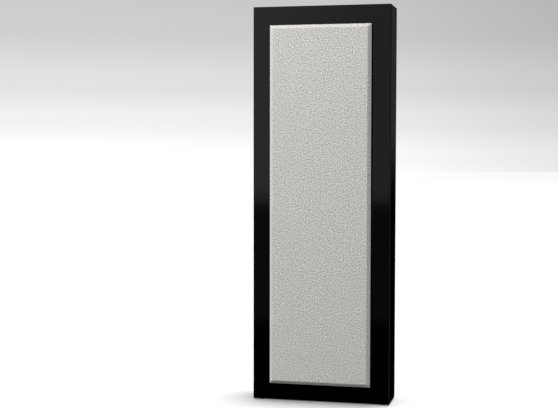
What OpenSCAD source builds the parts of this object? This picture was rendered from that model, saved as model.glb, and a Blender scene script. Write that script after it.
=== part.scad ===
// Slim floorstanding three-way loudspeaker with a lift-off bevelled cloth grille.
// Millimetres. The front faces -Y, +Z is up, and the origin is on the floor under the
// middle of the outer box.

/* [Cabinet] */
// Width of the cabinet
cabinet_w = 404; // [390:1:430]
// Height of the cabinet without its feet
cabinet_h = 1150; // [1130:1:1200]
// Depth of the cabinet without the grille
cabinet_d = 119; // [112:1:160]
// Thickness of the front baffle
baffle_t = 22; // [20:1:24]
// Thickness of the back panel
back_t = 16; // [15:1:18]
// Thickness of the side, top and bottom panels
wall_t = 18; // [15:1:20]
// Radius of the cabinet's rounded outer edges
edge_r = 2; // [1:0.5:3]
// Thickness of the rubber feet
foot_h = 2.5; // [2:0.5:5]

/* [Grille] */
// Plain border of the baffle around the grille, on average
grille_margin = 54; // [50:1:58]
// How far the grille sits below the middle of the baffle
grille_drop = 2; // [0:0.5:4]
// Distance from the baffle to the outer edge of the cloth
grille_stand = 17; // [15:1:20]
// Width and depth of the cloth's bevel
grille_bevel = 9.4; // [8:0.2:12]
// Thickness of the cloth
cloth_t = 0.9; // [0.6:0.1:1.2]

/* [Drivers] */
// Height of the tweeter's centre above the floor
tweeter_z = 1000; // [992:1:1010]
// Height of the midrange's centre above the floor
midrange_z = 868; // [864:1:870]
// Height of the upper woofer's centre above the floor
woofer_upper_z = 660; // [656:1:664]
// Height of the lower woofer's centre above the floor
woofer_lower_z = 400; // [396:1:404]
// Height of the bass port's centre above the floor
port_z = 172; // [170:1:176]
// Inner radius of the bass port
port_r = 28; // [24:1:30]

/* [Rear] */
// Distance between the two binding posts
post_pitch = 30; // [26:1:34]
// Radius of the axial socket in each binding post
socket_r = 2; // [1.9:0.05:2.1]
// Distance between the two wall keyholes
keyhole_pitch = 260; // [200:5:280]
// Radius of a keyhole's round opening
keyhole_r = 5; // [4:0.5:6]

/* [Hidden] */
$fn = 72;
hexagon = 6;

// eps joins solids, over is how far a cutter runs past a face, gap is the clearance of
// round fits, and recess_gap and end_gap are those of flanges and pockets.
eps = 0.01;
over = 1;
gap = 0.05;
recess_gap = 0.3;
end_gap = 0.2;

// Outer box, centred on the origin in X and Y.
grille_gap = 0.5;
grille_d = grille_stand + grille_bevel;
total_d = cabinet_d + grille_d;
y_back = total_d / 2;
y_front = y_back - cabinet_d;
z_bottom = foot_h;
z_top = foot_h + cabinet_h;
inner_w = cabinet_w - 2 * wall_t;
inner_d = cabinet_d - baffle_t - back_t;
y_inner_front = y_front + baffle_t;
y_inner_back = y_back - back_t;

// Grille frame: rim, cross bars and pegs.
grille_w = cabinet_w - 2 * grille_margin;
grille_h = cabinet_h - 2 * grille_margin;
grille_mid_z = z_bottom + cabinet_h / 2 - grille_drop;
rim_w = 19;
bar_w = 20;
bar_d = 12;
bar_zs = [255, 530, 782];
groove = 1.6;
cloth_fold = 0.4 * cloth_t;
cloth_gap = 0.02;
y_cloth_edge = y_front - grille_stand;
y_cloth = y_front - grille_d;
peg_r = 2.6;
peg_bulb_r = 3.1;
peg_tip_r = 1.56;
peg_l = 12;
peg_neck_l = 7;
peg_bulb_l = [8.5, 10];
peg_tail_l = 8;
peg_hole_r = 3.2;
peg_socket_r = 5.5;
peg_socket_l = 15;
peg_socket_end = 1.5;
peg_flange_r = 7;
peg_flange_t = 1;
peg_inset = 9.5;
peg_xs = [-1, 1] * (grille_w / 2 - peg_inset);
peg_zs = [grille_mid_z - grille_h / 2 + peg_inset, bar_zs[0], bar_zs[2],
          grille_mid_z + grille_h / 2 - peg_inset];

// The four windows in the frame: low and high ends in Z.
window_ends = let (
        low = grille_mid_z - grille_h / 2 + rim_w, high = grille_mid_z + grille_h / 2 - rim_w
    ) [[low, bar_zs[0] - bar_w / 2], [bar_zs[0] + bar_w / 2, bar_zs[1] - bar_w / 2],
       [bar_zs[1] + bar_w / 2, bar_zs[2] - bar_w / 2], [bar_zs[2] + bar_w / 2, high]];

// Cone drivers: flange radius, cone radius, surround roll radius, coil radius, depth of the
// cone's neck, depth of the basket's floor, pole plate thickness, magnet thickness, magnet
// radius, and screw count. Depths are measured back from the baffle's front face.
woofer = [111, 78, 7.5, 19, 30, 38, 6, 15, 50, 8];
midrange = [67, 45, 4.5, 12.5, 20, 26, 4, 12, 34, 6];
function flange_r(d) = d[0];
function cone_r(d) = d[1];
function roll_r(d) = d[2];
function coil_r(d) = d[3];
function neck_w(d) = d[4];
function floor_w(d) = d[5];
function plate_t(d) = d[6];
function magnet_t(d) = d[7];
function magnet_r(d) = d[8];
function screw_count(d) = d[9];
function lip_r(d) = cone_r(d) - cone_lip;
function roll_mid_r(d) = cone_r(d) + roll_r(d) - roll_lap;
function seat_in_r(d) = roll_mid_r(d) + roll_r(d) - skin;
function seat_out_r(d) = seat_in_r(d) + 0.7 * roll_r(d);
function cut_r(d) = seat_out_r(d) + 0.4;
function bolt_r(d) = (cut_r(d) + flange_r(d)) / 2;
function plate_w(d) = floor_w(d) + floor_t;
function magnet_w(d) = plate_w(d) + plate_t(d);
function yoke_w(d) = magnet_w(d) + magnet_t(d);
function motor_end(d) = yoke_w(d) + plate_t(d);
function spider_w(d) = neck_w(d) + 3.4;
function spider_step_w(d) = spider_w(d) + spider_t;
function spider_r(d) = magnet_r(d) - spider_inset;
function foot_r(d) = magnet_r(d) + 7;
function former_r(d) = coil_r(d) + coil_skin;
function cap_r(d) = 0.42 * cone_r(d);
function plate_r(d) = magnet_r(d) - 3;
flange_t = 4;
floor_t = 3;
floor_in = 10;
basket_t = 2.5;
basket_windows = 6;
window_rim = 4;
window_root = 3;
window_foot = 3;
window_half = 0.36;
window_taper = 1.35;
window_reach = 8;
tag_board = [24, 14, 2];
tag_board_root = 1.5;
seat_w = 1.2;
seat_gap = 0.1;
skin = 1;
roll_lap = 0.5;
cone_lip = 4;
cone_neck_t = 1.4;
lip_lap = 0.2;
spider_t = 0.6;
spider_ripple = 0.8;
spider_steps = 30;
spider_waves = 5;
spider_inset = 2;
spider_lip = 4;
spider_seat = 5;
cap_rise = 0.3;
cap_t = 0.8;
cap_steps = 10;
glue = 0.02;
coil_skin = 0.3;
coil_above = 1;
coil_below = 3;
winding_t = 0.8;
winding_above = 2;
gap_in = 0.6;
gap_out = 0.7;
magnet_room = 7;
pole_above = 1;
plate_chamfer = 2;
vent_r = 5;
driver_head_r = 3.4;
driver_head_h = 2.4;
driver_shank_r = 1.9;
driver_screw_l = 16;
screw_hole_l = driver_screw_l + 2;

// Share of a screw head's radius or height: flat top, chamfer, and hexagon socket.
head_top = 0.8;
head_chamfer = 0.4;
head_hex_r = 0.5;
head_hex_h = 0.7;

// Dome tweeter. Its surround is clamped between the faceplate and the top plate.
tweeter_r = 52;
tweeter_cut_r = 37.5;
tweeter_horn_r = 30;
tweeter_throat_r = 17.5;
tweeter_bolt_r = 45;
tweeter_screws = 4;
tweeter_throat_t = 0.7;
tweeter_horn_w = 2;
dome_r = 12.8;
dome_h = 5;
dome_w = flange_t;
dome_t = 0.35;
tweeter_skin = 0.4;
tweeter_roll_r = 2;
tweeter_roll_steps = 8;
tweeter_roll_mid_r = dome_r + tweeter_roll_r + 0.3;
tweeter_lip_r = 23.5;
tweeter_plate_w = dome_w + tweeter_skin;
tweeter_magnet_w = 8;
tweeter_yoke_w = 20;
tweeter_yoke_end = 24;
tweeter_chamber_end = 34;
tweeter_chamber_r = 22;
tweeter_magnet_r = 36;
tweeter_cap_t = 3;
tweeter_vent_r = 4;
tweeter_pole_r = dome_r - 0.8;
tweeter_pole_w = dome_w + 1.2;
tweeter_gap_r = dome_r + 1.4;
tweeter_ring_r = dome_r + 7;
tweeter_yoke_r = tweeter_magnet_r - 2;
tweeter_coil_half = 0.3;
tweeter_coil_below = 1.5;
tweeter_tag_x = -44;
tweeter_tag = [20, 12, 1.6];

// Bass port.
port_wall = 2.5;
port_l = 62;
port_flare = 9;
port_flange_r = 44;
port_flange_t = 3;
port_flare_gap = 1.5;
port_root = 1;
port_steps = 8;
port_end_steps = 6;

// Internal boards.
brace_t = 12;
brace_zs = [275, 530];
divider_z = 782;
window_w = 56;
window_xs = [-123, -41, 41, 123];
window_border = 22;
window_step = 6;
wadding_t = 24;
wadding_inset = 8;
wadding_bays = [[brace_zs[0], brace_zs[1]], [brace_zs[1], divider_z],
                [divider_z, z_top - wall_t - 20]];

// Terminal cup and binding posts.
terminal_z = 82;
cup_w = 84;
cup_h = 58;
cup_d = 26;
cup_wall = 2.5;
cup_flange = 9;
cup_flange_t = 3;
cup_floor_y = y_back - cup_d;
post_xs = [-1, 1] * post_pitch / 2;
stud_r = 3;
stud_out = 17.5;
stud_in = 13;
stud_bore_l = 18;
wire_hole_r = 1.5;
wire_hole_w = 4.7;
post_base_r = 6.5;
post_base_t = 3;
insert_r = 4.5;
insert_w = 5.2;
insert_l = 10;
knob_w = post_base_t + 0.3;
knob_r = 7;
knob_skirt_t = 1.2;
knob_skirt_r = knob_r - 1.2;
knob_l = 10.8;
knob_cap_t = 1.5;
knob_bore_r = stud_r + 0.3;
knob_grooves = 12;
knob_groove_r = 1;
knob_groove_out = 0.4;
knob_groove_w = knob_w + knob_skirt_t + 1;
mark_l = 6;
mark_w = 1.4;
mark_t = 0.4;
mark_rise = 13;
nut_t = 4;
nut_r = 5.8;
tag_t = 1;
tag_w = 8;
tag_rise = 14;

// Wall keyholes.
keyhole_z = 1092;
keyhole_plate_w = 66;
keyhole_plate_h = 30;
keyhole_plate_t = 2;
keyhole_slot_r = 2.6;
keyhole_rise = 10;
keyhole_pocket = 9;
keyhole_pocket_side = 2;
keyhole_pocket_below = 4;
keyhole_pocket_above = 1;
keyhole_plate_gap = 0.1;
keyhole_screw_x = 26;

// Countersunk screws at the rear.
rear_screw_r = 1.5;
rear_head_r = 3;
rear_head_t = 1.5;
rear_screw_l = 12;
rear_hex_r = 0.45;
rear_hex_w = 0.8;
cup_screw_x = cup_w / 2 + cup_flange / 2 + 0.5;
cup_screw_z = cup_h / 2 + cup_flange / 2 + 0.5;

// Feet.
foot_pad_r = 10;
foot_xs = [-1, 1] * (cabinet_w / 2 - 22);
foot_ys = [y_front + 18, y_back - 18];

// Crossover, on the back panel beside the port. Coils are [x, z, radius, height],
// capacitors [x, z, radius] and resistors [x, z], from the middle of the board.
board_w = 104;
board_h = 150;
board_t = 1.6;
board_x = -114;
board_z = 187;
board_lift = 6;
board_foot_r = 4;
board_foot_inset = 6;
board_y = y_inner_back - board_lift - board_t;
coils = [[-27, 47, 22, 18], [-29, -50, 20, 16], [30, -2, 17, 14]];
coil_core = 0.45;
capacitors = [[24, 60, 8.5], [24, 40, 8.5], [-28, 8, 7], [-28, -10, 7]];
capacitor_l = 36;
resistors = [[23, -38], [23, -53], [23, -68]];
resistor_size = [38, 9, 9];

// Internal wires: each route is points of X, depth behind the baffle's face, and Z.
wire_r = 1.8;
board_w_front = board_y - y_front;
lane_w = 74;
input_wires = [
    [[-15, 88.6, 96], [-15, 88.6, 98], [-16, 88.2, 106], [-22, 86, 114], [-38, 84, 118], [-54, 84, 120],
     [-63, 87, 121], [-66, 91, 122], [-66, board_w_front, 122]],
    [[15, 88.6, 96], [15, 88.6, 98], [14, 88.2, 108], [6, 86, 122], [-14, 84, 128], [-50, 84, 131],
     [-63, 87, 133], [-66, 91, 134], [-66, board_w_front, 134]]
];
function riser(x) = [[x, board_w_front, 259], [x, 90, 259], [x, 82, 262], [x, 76, 268],
    [x, lane_w, 276], [x, lane_w, 300]];
driver_wires = [
    concat(riser(-106), [[-106, 70, 340], [-100, 58, 375], [-90, 46, 394], [-80, 42, 400],
        [-72.5, 42, 400]]),
    concat(riser(-116), [[-116, lane_w, 560], [-114, 68, 600], [-104, 56, 636], [-90, 46, 654],
        [-80, 42, 660], [-72.5, 42, 660]]),
    concat(riser(-127), [[-127, lane_w, 800], [-122, 64, 830], [-100, 44, 856], [-76, 32, 867],
        [-66, 30, 868], [-56.5, 30, 868]]),
    concat(riser(-137), [[-137, lane_w, 850], [-128, 66, 920], [-96, 44, 972], [-64, 28, 996],
        [-52, 24.8, 1000], [tweeter_tag_x, 24.8, 1000]])
];
cable_hole_r = 11;
cable_hole_x = -132;
cable_hole_w = 72;

// ---------------------------------------------------------------- helpers

// Local +Z runs back into the cabinet from the baffle's front face.
module on_baffle(x, z) translate([x, y_front, z]) rotate([-90, 0, 0]) children();

// Local +Z runs out of the back of the cabinet from the given Y.
module on_rear(x, y, z) translate([x, y, z]) rotate([-90, 0, 0]) children();

module ring(r_in, r_out, w0, w1) translate([0, 0, w0]) difference() {
    cylinder(r = r_out, h = w1 - w0);
    translate([0, 0, -over]) cylinder(r = r_in, h = w1 - w0 + 2 * over);
}

// A block that is centred on X and Z = z, and runs back from Y = y.
module block(w, h, y, z, depth) translate([-w / 2, y, z - h / 2]) cube([w, depth, h]);

module revolve(points) rotate_extrude() polygon(points);

module around(count, radius, start = 0)
    for (i = [0 : count - 1]) rotate([0, 0, start + i * 360 / count])
        translate([radius, 0, 0]) children();

// Points of an arc about [cx, cy] from angle a0 to a1.
function arc(cx, cy, r, a0, a1, n) =
    [for (i = [0 : n]) let (a = a0 + (a1 - a0) * i / n) [cx + r * cos(a), cy + r * sin(a)]];

// Radius and centre depth of a cap that rises h over a rim of radius r.
function cap_sphere(r, h) = (r * r + h * h) / (2 * h);

// A cap's profile: the rim lies at depth w and the crown is h in front of it.
function cap_points(r, h, w, t) = let (
        s = cap_sphere(r, h), mid = w - h + s, half = asin(r / s)
    ) concat(arc(0, mid, s, -90, -90 + half, cap_steps),
             arc(0, mid, s - t, -90 + half, -90, cap_steps));

// A tube along a route, as one closed polyhedron with eight sides.
module tube(points, r) {
    sides = 8;
    n = len(points);
    function unit(v) = v / norm(v);
    function heading(i) = unit(points[min(i + 1, n - 1)] - points[max(i - 1, 0)]);
    slant = [0.31, 0.9, -0.3];
    function side_of(i) = unit(cross(heading(i), slant));
    rings = [for (i = [0 : n - 1]) let (u = side_of(i), v = cross(heading(i), u))
        for (k = [0 : sides - 1]) let (a = 360 * k / sides)
            points[i] + r * (cos(a) * u + sin(a) * v)];
    walls = [for (i = [0 : n - 2], k = [0 : sides - 1]) let (m = (k + 1) % sides)
        [i * sides + k, (i + 1) * sides + k, (i + 1) * sides + m, i * sides + m]];
    first = [for (k = [0 : sides - 1]) k];
    last = [for (k = [sides - 1 : -1 : 0]) (n - 1) * sides + k];
    polyhedron(rings, concat(walls, [first, last]));
}

// A raised screw head with a hexagon socket, and its shank below it.
module screw(head_r, head_h, shank_r, shank_l) {
    difference() {
        union() {
            translate([0, 0, -head_h])
                cylinder(r1 = head_r * head_top, r2 = head_r, h = head_h * head_chamfer);
            translate([0, 0, -head_h * (1 - head_chamfer)])
                cylinder(r = head_r, h = head_h * (1 - head_chamfer));
            translate([0, 0, -eps]) cylinder(r = shank_r, h = shank_l + eps);
        }
        translate([0, 0, -head_h - eps])
            cylinder(r = head_r * head_hex_r, h = head_h * head_hex_h, $fn = hexagon);
    }
}

// ---------------------------------------------------------------- cabinet

// What lies outside the rounded edge of a corner at the origin, along Z.
module edge_cutter(length) difference() {
    translate([-edge_r, -edge_r, -length / 2 - over])
        cube([edge_r + over, edge_r + over, length + 2 * over]);
    translate([-edge_r, -edge_r, -length / 2 - 2 * over])
        cylinder(r = edge_r, h = length + 4 * over);
}

module edge_cutters(a, b, length)
    for (i = [0, 1], j = [0, 1]) mirror([i, 0, 0]) mirror([0, j, 0])
        translate([a / 2, b / 2, 0]) edge_cutter(length);

module envelope() translate([0, y_back - cabinet_d / 2, z_bottom + cabinet_h / 2]) difference() {
    cube([cabinet_w, cabinet_d, cabinet_h], center = true);
    edge_cutters(cabinet_w, cabinet_d, cabinet_h);
    rotate([90, 0, 0]) edge_cutters(cabinet_w, cabinet_h, cabinet_d);
    rotate([0, 90, 0]) edge_cutters(cabinet_h, cabinet_d, cabinet_w);
}

// A panel is the part of the rounded envelope inside a block.
module panel(low, size) intersection() {
    envelope();
    translate(low) cube(size);
}

module driver_hole(d, z) on_baffle(0, z) {
    translate([0, 0, -over]) cylinder(r = cut_r(d), h = baffle_t + 2 * over);
    translate([0, 0, -over]) cylinder(r = flange_r(d) + recess_gap, h = flange_t + over);
    around(screw_count(d), bolt_r(d), 180 / screw_count(d))
        cylinder(r = driver_shank_r + gap, h = screw_hole_l);
}

module front_baffle() color("#0b0b0c") difference() {
    panel([-cabinet_w / 2, y_front, z_bottom], [cabinet_w, baffle_t, cabinet_h]);
    driver_hole(woofer, woofer_upper_z);
    driver_hole(woofer, woofer_lower_z);
    driver_hole(midrange, midrange_z);
    on_baffle(0, tweeter_z) {
        translate([0, 0, -over]) cylinder(r = tweeter_cut_r, h = baffle_t + 2 * over);
        translate([0, 0, -over]) cylinder(r = tweeter_r + recess_gap, h = flange_t + over);
        around(tweeter_screws, tweeter_bolt_r, 180 / tweeter_screws)
            cylinder(r = driver_shank_r + gap, h = screw_hole_l);
    }
    on_baffle(0, port_z) {
        translate([0, 0, -over])
            cylinder(r = port_r + port_wall + recess_gap, h = baffle_t + 2 * over);
        translate([0, 0, -over])
            cylinder(r = port_flange_r + recess_gap, h = port_flange_t + over);
        translate([0, 0, port_flange_t - eps])
            cylinder(r1 = port_r + port_flare + port_flare_gap,
                     r2 = port_r + port_wall + recess_gap, h = port_flare);
    }
    for (x = peg_xs, z = peg_zs) on_baffle(x, z) {
        translate([0, 0, -over])
            cylinder(r = peg_socket_r + gap, h = peg_socket_l + over + end_gap);
        translate([0, 0, -over]) cylinder(r = peg_flange_r + gap, h = peg_flange_t + over);
    }
}

module back_panel() color("#0b0b0c") difference() {
    panel([-cabinet_w / 2, y_inner_back, z_bottom], [cabinet_w, back_t, cabinet_h]);
    cup_block(cup_wall + recess_gap, y_inner_back - over, back_t + 2 * over);
    cup_block(cup_flange + recess_gap, y_back - cup_flange_t, cup_flange_t + over);
    for (x = [-1, 1] * cup_screw_x, z = [-1, 1] * cup_screw_z)
        on_rear(x, y_back, terminal_z + z) rear_screw_hole();
    for (x = [-1, 1] * keyhole_pitch / 2) translate([x, 0, keyhole_z]) {
        block(keyhole_plate_w + 2 * keyhole_plate_gap, keyhole_plate_h + 2 * keyhole_plate_gap,
              y_back - keyhole_plate_t, 0, keyhole_plate_t + over);
        translate([-keyhole_r - keyhole_pocket_side, y_back - keyhole_plate_t - keyhole_pocket,
                   -keyhole_r - keyhole_pocket_below])
            cube([2 * keyhole_r + 2 * keyhole_pocket_side, keyhole_pocket + over,
                  keyhole_rise + 2 * keyhole_r + keyhole_pocket_below + keyhole_pocket_above]);
        for (s = [-1, 1] * keyhole_screw_x) on_rear(s, y_back, 0) rear_screw_hole();
    }
}

module side_panel(x) color("#0b0b0c")
    panel([x, y_inner_front, z_bottom + wall_t], [wall_t, inner_d, cabinet_h - 2 * wall_t]);

module end_panel(z) color("#0b0b0c")
    panel([-cabinet_w / 2, y_inner_front, z], [cabinet_w, inner_d, wall_t]);

// A shelf across the cabinet, with rounded windows for the air to pass.
module brace(z) color("burlywood") difference() {
    translate([-inner_w / 2, y_inner_front, z - brace_t / 2]) cube([inner_w, inner_d, brace_t]);
    for (x = window_xs) translate([x, y_inner_front + inner_d / 2, z]) {
        cube([window_w, inner_d - 2 * window_border, brace_t + 2 * over], center = true);
        for (s = [-1, 1]) translate([0, s * (inner_d / 2 - window_border), 0])
            cube([window_w - 2 * window_step, 2 * window_step, brace_t + 2 * over], center = true);
    }
}

module chamber_divider() color("burlywood") difference() {
    translate([-inner_w / 2, y_inner_front, divider_z - brace_t / 2])
        cube([inner_w, inner_d, brace_t]);
    translate([cable_hole_x, y_front + cable_hole_w, divider_z - brace_t])
        cylinder(r = cable_hole_r, h = 2 * brace_t);
}

// Sheets of polyester wool on the back panel, one in each bay that holds a driver.
module damping_wadding() color("whitesmoke")
    for (bay = wadding_bays)
        block(inner_w - 2 * wadding_inset, bay[1] - bay[0] - brace_t - 2 * wadding_inset,
              y_inner_back - wadding_t, (bay[0] + bay[1]) / 2, wadding_t - end_gap);

// Flared mouth, flange and tube in one moulding.
module bass_port() color("#1a1a1a") on_baffle(0, port_z) revolve(concat(
    arc(port_r + port_flare, port_flare, port_flare, -90, -180, port_steps),
    arc(port_r + port_flare / 2, port_l - port_flare / 2, port_flare / 2, 180, 90, port_end_steps),
    [[port_r + port_flare / 2 + port_wall, port_l],
     [port_r + port_wall, port_l - port_flare],
     [port_r + port_wall, port_flange_t + port_flare],
     [port_r + port_flare + port_root, port_flange_t],
     [port_flange_r, port_flange_t], [port_flange_r, 0]]));

module rubber_feet() color("#222222")
    for (x = foot_xs, y = foot_ys) translate([x, y, 0]) cylinder(r = foot_pad_r, h = foot_h);

// ---------------------------------------------------------------- cone drivers

// Cast frame: flange, windowed cone and floor ring, with its solder tag board.
module basket(d, z) color("#2b2b2d") on_baffle(0, z) {
    seat_edge = seat_in_r(d) - roll_lap;
    difference() {
        revolve([
            [seat_edge, seat_w], [seat_out_r(d) + seat_gap, seat_w],
            [seat_out_r(d) + seat_gap, 0], [flange_r(d), 0], [flange_r(d), flange_t],
            [cut_r(d) - recess_gap, flange_t],
            [foot_r(d) + basket_t, floor_w(d)], [foot_r(d) + basket_t, plate_w(d)],
            [magnet_r(d) - floor_in, plate_w(d)], [magnet_r(d) - floor_in, floor_w(d)],
            [spider_r(d), floor_w(d)], [spider_r(d), spider_step_w(d)],
            [spider_r(d) + spider_seat, spider_step_w(d)], [spider_r(d) + spider_seat, floor_w(d)],
            [foot_r(d), floor_w(d)], [seat_edge, flange_t + 1]
        ]);
        around(basket_windows, foot_r(d) - window_root)
            translate([0, 0, flange_t + window_rim]) window_cutter(d);
        around(screw_count(d), bolt_r(d), 180 / screw_count(d)) translate([0, 0, -over])
            cylinder(r = driver_shank_r + gap, h = flange_t + 2 * over);
    }
    translate([tag_board_root - magnet_r(d) - tag_board[0], -tag_board[1] / 2, plate_w(d)])
        cube(tag_board);
}

// A tapered opening in a basket's side.
module window_cutter(d) {
    reach = cut_r(d) - foot_r(d) + window_reach;
    deep = floor_w(d) - flange_t - window_rim - window_foot;
    half = window_half * foot_r(d);
    wide = half * window_taper;
    rotate([90, 0, 90]) linear_extrude(reach)
        polygon([[-wide, 0], [wide, 0], [half, deep], [-half, deep]]);
}

module magnet(d, z) color("#3a3a3c") on_baffle(0, z)
    ring(coil_r(d) + magnet_room, magnet_r(d), magnet_w(d), yoke_w(d));

// Top plate, and the back plate with its vented pole.
module pole_plates(d, z) color("silver") on_baffle(0, z) {
    ring(former_r(d) + winding_t + gap_out, plate_r(d), plate_w(d), magnet_w(d));
    revolve([
        [vent_r, plate_w(d) - pole_above], [coil_r(d) - gap_in, plate_w(d) - pole_above],
        [coil_r(d) - gap_in, yoke_w(d)], [plate_r(d), yoke_w(d)],
        [plate_r(d), motor_end(d) - plate_chamfer], [plate_r(d) - plate_chamfer, motor_end(d)],
        [vent_r, motor_end(d)]
    ]);
}

// Half-roll rubber edge with a lip on the frame and a lip on the cone.
module surround(d, z) color("#151515") on_baffle(0, z) rotate_extrude() {
    difference() {
        translate([roll_mid_r(d), seat_w]) circle(r = roll_r(d));
        translate([roll_mid_r(d), seat_w]) circle(r = roll_r(d) - skin);
        translate([0, seat_w]) square([2 * cone_r(d), 2 * roll_r(d)]);
    }
    translate([lip_r(d), seat_w - skin]) square([cone_lip + roll_lap, skin]);
    translate([seat_in_r(d) - lip_lap, seat_w - skin])
        square([seat_out_r(d) - seat_in_r(d) + lip_lap, skin]);
}

// Corrugated cloth that centres the coil.
module spider(d, z) color("#c9a15a") on_baffle(0, z) {
    inner = former_r(d) + gap;
    outer = spider_r(d);
    edge = outer + spider_lip;
    ripple = [for (i = [0 : spider_steps]) [inner + (outer - inner) * i / spider_steps,
        spider_w(d) + spider_ripple * sin(360 * spider_waves * i / spider_steps)]];
    back = [for (i = [spider_steps : -1 : 0]) ripple[i] + [0, spider_t]];
    revolve(concat(ripple, [[edge, spider_w(d)], [edge, spider_step_w(d)]], back));
}

// Front surface of the cone, as depth at a radius.
function cone_depth(d, r) =
    seat_w + (lip_r(d) - r) / (lip_r(d) - coil_r(d)) * (neck_w(d) - seat_w);

module cone(d, z) color("#26262a") on_baffle(0, z) revolve([
    [cone_r(d), seat_w], [lip_r(d), seat_w],
    [former_r(d) + gap, neck_w(d)], [former_r(d) + gap, neck_w(d) + cone_neck_t],
    [lip_r(d), seat_w + skin], [cone_r(d), seat_w + skin]
]);

// Domed cap, with its rim trimmed to the slope of the cone that it is glued to.
module dust_cap(d, z) color("#1c1c1f") on_baffle(0, z) {
    near = cap_r(d) - 2;
    far = cap_r(d) + 1;
    difference() {
        revolve(cap_points(cap_r(d), cap_rise * cap_r(d), cone_depth(d, cap_r(d)), cap_t));
        revolve([[near, cone_depth(d, near) - glue], [far, cone_depth(d, far) - glue],
                 [far, neck_w(d)], [near, neck_w(d)]]);
    }
}

// Former tube and the winding on it.
module voice_coil(d, z) color("#b06a3a") on_baffle(0, z) {
    ring(coil_r(d), former_r(d), neck_w(d) - coil_above, magnet_w(d) + coil_below);
    ring(former_r(d), former_r(d) + winding_t,
         plate_w(d) - winding_above, magnet_w(d) + coil_below);
}

module driver_screws() color("#101010") {
    for (at = [[woofer, woofer_upper_z], [woofer, woofer_lower_z], [midrange, midrange_z]])
        on_baffle(0, at[1]) around(screw_count(at[0]), bolt_r(at[0]), 180 / screw_count(at[0]))
            screw(driver_head_r, driver_head_h, driver_shank_r, driver_screw_l);
    on_baffle(0, tweeter_z) around(tweeter_screws, tweeter_bolt_r, 180 / tweeter_screws)
        screw(driver_head_r, driver_head_h, driver_shank_r, driver_screw_l);
}

// ---------------------------------------------------------------- tweeter

module tweeter_faceplate() color("#1b1b1d") on_baffle(0, tweeter_z) difference() {
    revolve([
        [tweeter_horn_r, 0], [tweeter_r, 0], [tweeter_r, flange_t], [tweeter_throat_r, flange_t],
        [tweeter_throat_r, flange_t - tweeter_throat_t],
        [(tweeter_throat_r + tweeter_horn_r) / 2, flange_t - tweeter_horn_w]
    ]);
    around(tweeter_screws, tweeter_bolt_r, 180 / tweeter_screws)
        translate([0, 0, -over]) cylinder(r = driver_shank_r + gap, h = flange_t + 2 * over);
}

// Top plate, magnet ring, back plate with its pole, rear chamber cap and tag board.
module tweeter_motor() color("#3a3a3c") on_baffle(0, tweeter_z) {
    ring(tweeter_gap_r, tweeter_magnet_r, tweeter_plate_w, tweeter_magnet_w);
    ring(tweeter_ring_r, tweeter_magnet_r, tweeter_magnet_w, tweeter_yoke_w);
    revolve([
        [tweeter_vent_r, tweeter_pole_w], [tweeter_pole_r, tweeter_pole_w],
        [tweeter_pole_r, tweeter_yoke_w], [tweeter_yoke_r, tweeter_yoke_w],
        [tweeter_yoke_r, tweeter_yoke_end], [tweeter_chamber_r, tweeter_yoke_end],
        [tweeter_chamber_r - plate_chamfer, tweeter_chamber_end], [0, tweeter_chamber_end],
        [0, tweeter_chamber_end - tweeter_cap_t],
        [tweeter_vent_r, tweeter_chamber_end - tweeter_cap_t]
    ]);
    translate([tweeter_tag_x, -tweeter_tag[1] / 2, tweeter_yoke_end]) cube(tweeter_tag);
}

// Narrow half roll between the dome and the faceplate.
module tweeter_surround() color("#1f1f22") on_baffle(0, tweeter_z) revolve(concat(
    [[dome_r + seat_gap, dome_w]],
    arc(tweeter_roll_mid_r, dome_w, tweeter_roll_r, 180, 360, tweeter_roll_steps),
    [[tweeter_lip_r, dome_w], [tweeter_lip_r, dome_w + tweeter_skin]],
    [[tweeter_roll_mid_r + tweeter_roll_r, dome_w + tweeter_skin]],
    arc(tweeter_roll_mid_r, dome_w + tweeter_skin / 2, tweeter_roll_r - tweeter_skin,
        360, 180, tweeter_roll_steps),
    [[dome_r + seat_gap, dome_w + tweeter_skin]]));

module tweeter_dome() color("#2a2a2e") on_baffle(0, tweeter_z)
    revolve(cap_points(dome_r, dome_h, dome_w, dome_t));

module tweeter_voice_coil() color("#b06a3a") on_baffle(0, tweeter_z)
    ring(dome_r - tweeter_coil_half, dome_r + tweeter_coil_half,
         dome_w + tweeter_skin, tweeter_magnet_w + tweeter_coil_below);

// ---------------------------------------------------------------- grille

// A block with bevelled front edges: full size from the baffle to the bevel.
module bevelled_block(w, h, y_rear, y_edge, bevel) {
    corners = [[-1, -1], [1, -1], [1, 1], [-1, 1]];
    function layer(y, inset) = [for (c = corners)
        [c[0] * (w / 2 - inset), y, c[1] * (h / 2 - inset)]];
    translate([0, 0, grille_mid_z]) polyhedron(
        concat(layer(y_rear, 0), layer(y_edge, 0), layer(y_edge - bevel, bevel)),
        concat([[0, 1, 2, 3], [11, 10, 9, 8]], [for (k = [0, 4], i = [0 : 3])
            let (j = (i + 1) % 4) [k + i, k + i + 4, k + j + 4, k + j]]));
}

// Rim and cross bars, with a groove under the bevel that takes the cloth's edge.
module grille_frame() color("#0e0e0e") difference() {
    bevelled_block(grille_w - 2 * cloth_t, grille_h - 2 * cloth_t, y_front - grille_gap,
                   y_cloth_edge + cloth_fold, grille_bevel - cloth_fold);
    for (ends = window_ends)
        block(grille_w - 2 * rim_w, ends[1] - ends[0],
              y_cloth - over, (ends[0] + ends[1]) / 2, grille_d + 2 * over);
    block(grille_w - 2 * rim_w, grille_h - 2 * rim_w,
          y_cloth - over, grille_mid_z, grille_d - bar_d + over);
    for (x = peg_xs, z = peg_zs) on_baffle(x, z) translate([0, 0, -grille_gap - peg_tail_l])
        cylinder(r = peg_r + gap, h = peg_tail_l + over);
}

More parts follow.
